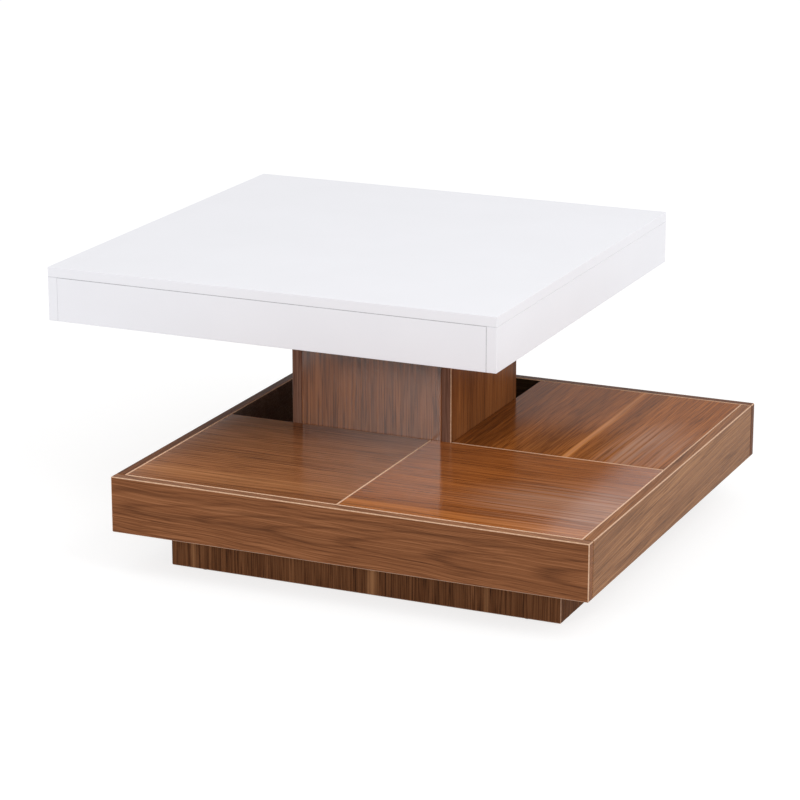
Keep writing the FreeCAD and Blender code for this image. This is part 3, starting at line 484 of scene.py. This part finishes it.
# The pale streak, its grey core and the dark lines beside it are in the wood; the dark band by the column
# paints shade and the grey patch at the front paints sheen.
right_back_marks = (
    (0.0, 0.297, endless, 0.006, 0.45, pale_tone),
    (0.0, 0.297, endless, 0.004, 0.15, grey_and_sheen_tone),
    (0.05, 0.25, 0.3, 0.03, 0.3, dark_tone),
    (0.0, 0.15, 0.3, 0.05, 0.3, dark_tone),
    (0.05, 0.325, 0.3, 0.014, 0.4, dark_tone),
    (-0.05, 0.39, 0.14, 0.06, 0.28, grey_and_sheen_tone),
)
deck_right_back_face = walnut("deck_right_back_walnut", "YXZ", stained(walnut_tones, 1.16, 0.94, 0.49),
                              heart=(0.24, 0.05), taper=0.05, flow=0.003, offset=2.9, bands=0.3, fibres=0.3,
                              marks=right_back_marks, roughness=deck_roughness, gloss=0.02)
lay_board("deck_front_left", deck_front_left_face, tray_strip_x, lit_core_line, lit_core_line)
lay_board("deck_front_right", deck_front_right_face, tray_strip_x, lit_core_line, lit_core_line)
lay_board("deck_right_back", deck_right_back_face, tray_strip_y, core_line, core_line)


# Column
# A hollow square post of laminated boards with upright grain: the side boards show their edges at the
# front, and the front and back boards stand between them. It is screwed up through the tray's floor.

# A dark band at the top of the column's front paints the shade under the white top.
column_top_painted_shade = ((0.3, 0.0, 0.08, endless, 0.9, dark_tone),)
# A dark streak along the back edge of the sides paints the shade there, under the top.
column_back_edge_painted_shade = ((0.18, 0.125, endless, 0.035, 0.4, dark_tone),)
column_front_face = walnut("column_front_walnut", "ZXY", stained(walnut_tones, 0.95, 0.86, 0.74), flow=0.002,
                           offset=5.2, bands=0.2, streaks=0.13, fibres=0.35, rings=0.0,
                           marks=column_top_painted_shade, roughness=0.14, gloss=0.8)
column_side_face = walnut("column_side_walnut", "ZYX", stained(walnut_tones, 1.1, 1.02, 0.8), flow=0.002,
                          offset=8.1, streaks=0.4, rings=0.0, marks=column_back_edge_painted_shade)
column_strip = walnut("column_strip", "ZXY", stained(walnut_tones, 0.87, 1.16, 2.05), flow=0.002,
                      offset=12.4, rings=0.0)
for board in ("column_front", "column_back"):
    lay_board(board, column_front_face, column_strip, column_front_face, column_front_face)
lay_board("column_left", column_side_face, column_strip, column_strip, column_strip)
inner_edges = ("front left", "back left")
lay_board("column_right", column_side_face, column_strip, core_line, column_strip, inner_edges)
dress(chipboard, "column_cap")
dress(beech, "column_dowels")
dress(zinc, "column_screws")


# Swivel bearing
# Two square plates of pressed steel with raised races, steel balls in a nylon cage between them, and a
# hooked ring that keeps the upper plate from lifting off. Each plate has a screw at each corner.

def pressed_steel(name, dark, light, roughness):
    """Bare rolled steel: long faint rolling lines and an oily, uneven shine."""
    finish, tree, surface = new_finish(name)
    lines = speckle(tree, grain_size=0.0008, detail=2.0, stretch=(1.0, 60.0, 1.0))
    oil = speckle(tree, grain_size=0.02, detail=3.0)
    feed(tree, ramp(tree, lines, two_tones(dark, light)), surface, "Base Color")
    feed(tree, spread_value(tree, oil, roughness - 0.1, roughness + 0.1), surface, "Roughness")
    surface.inputs["Metallic"].default_value = 1.0
    return finish


plate_steel = pressed_steel("plate_steel", paint(150, 152, 156), paint(190, 192, 194), 0.35)
ball_steel = pressed_steel("ball_steel", paint(200, 202, 206), paint(225, 226, 228), 0.15)
dress(plate_steel, "bearing_lower_plate", "bearing_upper_plate", "bearing_retainer")
dress(zinc, "bearing_lower_screws", "bearing_upper_screws")
dress(ball_steel, "bearing_balls")
dress(moulded_plastic("cage_nylon", paint(196, 192, 178), paint(216, 212, 198), 0.45), "bearing_cage")


# White top
# A hollow slab of lacquered board: a square panel on four aprons, closed underneath with raw chipboard,
# with two ribs inside. The side aprons run the full depth, so seams show near the ends of the front.

def lacquer_finish():
    """Sprayed white lacquer: satin, with the faintest mottle and orange peel."""
    finish, tree, surface = new_finish("white_lacquer")
    mottle = speckle(tree, grain_size=0.12, detail=2.0)
    peel = speckle(tree, grain_size=0.003, detail=2.0)
    stops = two_tones(paint(239, 239, 244), paint(241, 241, 246))
    feed(tree, ramp(tree, mottle, stops), surface, "Base Color")
    feed(tree, spread_value(tree, mottle, 0.32, 0.4), surface, "Roughness")
    surface.inputs["Specular IOR Level"].default_value = 0.3
    emboss(tree, surface, peel, depth=0.000008)
    return finish


def seam_finish(name, dark, light):
    """The fine shadow line where two lacquered boards meet."""
    finish, tree, surface = new_finish(name)
    dust = speckle(tree, grain_size=0.006, detail=3.0)
    feed(tree, ramp(tree, dust, two_tones(dark, light)), surface, "Base Color")
    surface.inputs["Roughness"].default_value = 0.6
    return finish


white_lacquer = lacquer_finish()
open_seam = seam_finish("open_seam", paint(176, 176, 180), paint(194, 194, 198))
tight_seam = seam_finish("tight_seam", paint(216, 216, 220), paint(226, 226, 230))
white_boards = {
    "top_panel": (open_seam, ("bottom front",)),
    "apron_front": (open_seam, ("top front", "right front")),
    "apron_back": (tight_seam, ("top back",)),
    "apron_left": (tight_seam, ("top left", "front right", "back right")),
    "apron_right": (tight_seam, ("top right", "front left", "back left")),
}
for board, (seam, seams) in white_boards.items():
    lay_board(board, white_lacquer, white_lacquer, white_lacquer, seam, seams)
dress(chipboard, "top_underside_panel", "top_rib_left", "top_rib_right")
dress(beech, "top_dowels")


# Studio
# A plain pale floor, an even white surround, a smaller soft lamp in front on the left and a large one
# high on the right. The floor looks white where nothing shades it, and keeps the table's shadow.

floor_reach = 30.0
floor_bounce = 0.84
floor_shade = 0.34
floor_glow = 0.76
surround_soft = 0.75
surround_white = 1.0
table_middle = Vector((0.0, 0.0, 0.2))


def seen(tree):
    """One where the camera sees the surface, straight, mirrored or through glass, and zero elsewhere."""
    path = tree.nodes.new("ShaderNodeLightPath").outputs
    mirrored = shade(tree, "Math", {0: path["Is Camera Ray"], 1: path["Is Glossy Ray"]}, operation="MAXIMUM")
    return shade(tree, "Math", {0: mirrored, 1: path["Is Transmission Ray"]}, operation="MAXIMUM")


floor_mesh = bpy.data.meshes.new("studio_floor")
floor_corners = (
    (-floor_reach, -floor_reach, 0.0),
    (floor_reach, -floor_reach, 0.0),
    (floor_reach, floor_reach, 0.0),
    (-floor_reach, floor_reach, 0.0),
)
floor_mesh.from_pydata(floor_corners, [], [(0, 1, 2, 3)])
studio_floor = bpy.data.objects.new("studio_floor", floor_mesh)
bpy.context.scene.collection.objects.link(studio_floor)
floor_finish, floor_tree, floor_surface = new_finish("studio_floor")
floor_surface.inputs["Roughness"].default_value = 0.9
floor_surface.inputs["Specular IOR Level"].default_value = 0.0
floor_surface.inputs["Emission Color"].default_value = (1.0, 1.0, 1.0, 1.0)
floor_stops = [(0.0, (floor_bounce,) * 3 + (1.0,)), (1.0, (floor_shade,) * 3 + (1.0,))]
feed(floor_tree, ramp(floor_tree, seen(floor_tree), floor_stops), floor_surface, "Base Color")
floor_light = spread_value(floor_tree, seen(floor_tree), 0.0, floor_glow)
feed(floor_tree, floor_light, floor_surface, "Emission Strength")
floor_mesh.materials.append(floor_finish)

surround = bpy.data.worlds.new("studio_surround")
surround.use_nodes = True
surround_tree = surround.node_tree
surround_light = surround_tree.nodes["Background"]
surround_light.inputs["Color"].default_value = (1.0, 1.0, 1.0, 1.0)
surround_level = spread_value(surround_tree, seen(surround_tree), surround_soft, surround_white)
feed(surround_tree, surround_level, surround_light, "Strength")
bpy.context.scene.world = surround


def hang_lamp(name, place, size, power):
    """A square soft lamp turned to the middle of the table."""
    lamp = bpy.data.lights.new(name, "AREA")
    lamp.shape = "SQUARE"
    lamp.size = size
    lamp.energy = power
    hung = bpy.data.objects.new(name, lamp)
    hung.location = place
    hung.rotation_euler = (table_middle - Vector(place)).to_track_quat("-Z", "Y").to_euler()
    bpy.context.scene.collection.objects.link(hung)


hang_lamp("front_lamp", place=(-1.35, -4.0, 1.42), size=0.9, power=28.0)
hang_lamp("high_lamp", place=(3.1, -0.9, 2.9), size=2.5, power=57.0)

# The camera's lens, place and turn were fitted to the photograph together with the table's size.
camera = bpy.data.cameras.new("photo_view")
camera.sensor_width = 36.0
camera.lens = 135.31
photo_view = bpy.data.objects.new("photo_view", camera)
view_turn = 0.4175
view_drop = 0.2864
photo_view.location = (1.7151, -3.8883, 1.4058)
photo_view.rotation_euler = (math.pi / 2 - view_drop, 0.0, view_turn)
bpy.context.scene.collection.objects.link(photo_view)
bpy.context.scene.camera = photo_view
bpy.context.scene.view_settings.view_transform = "Standard"
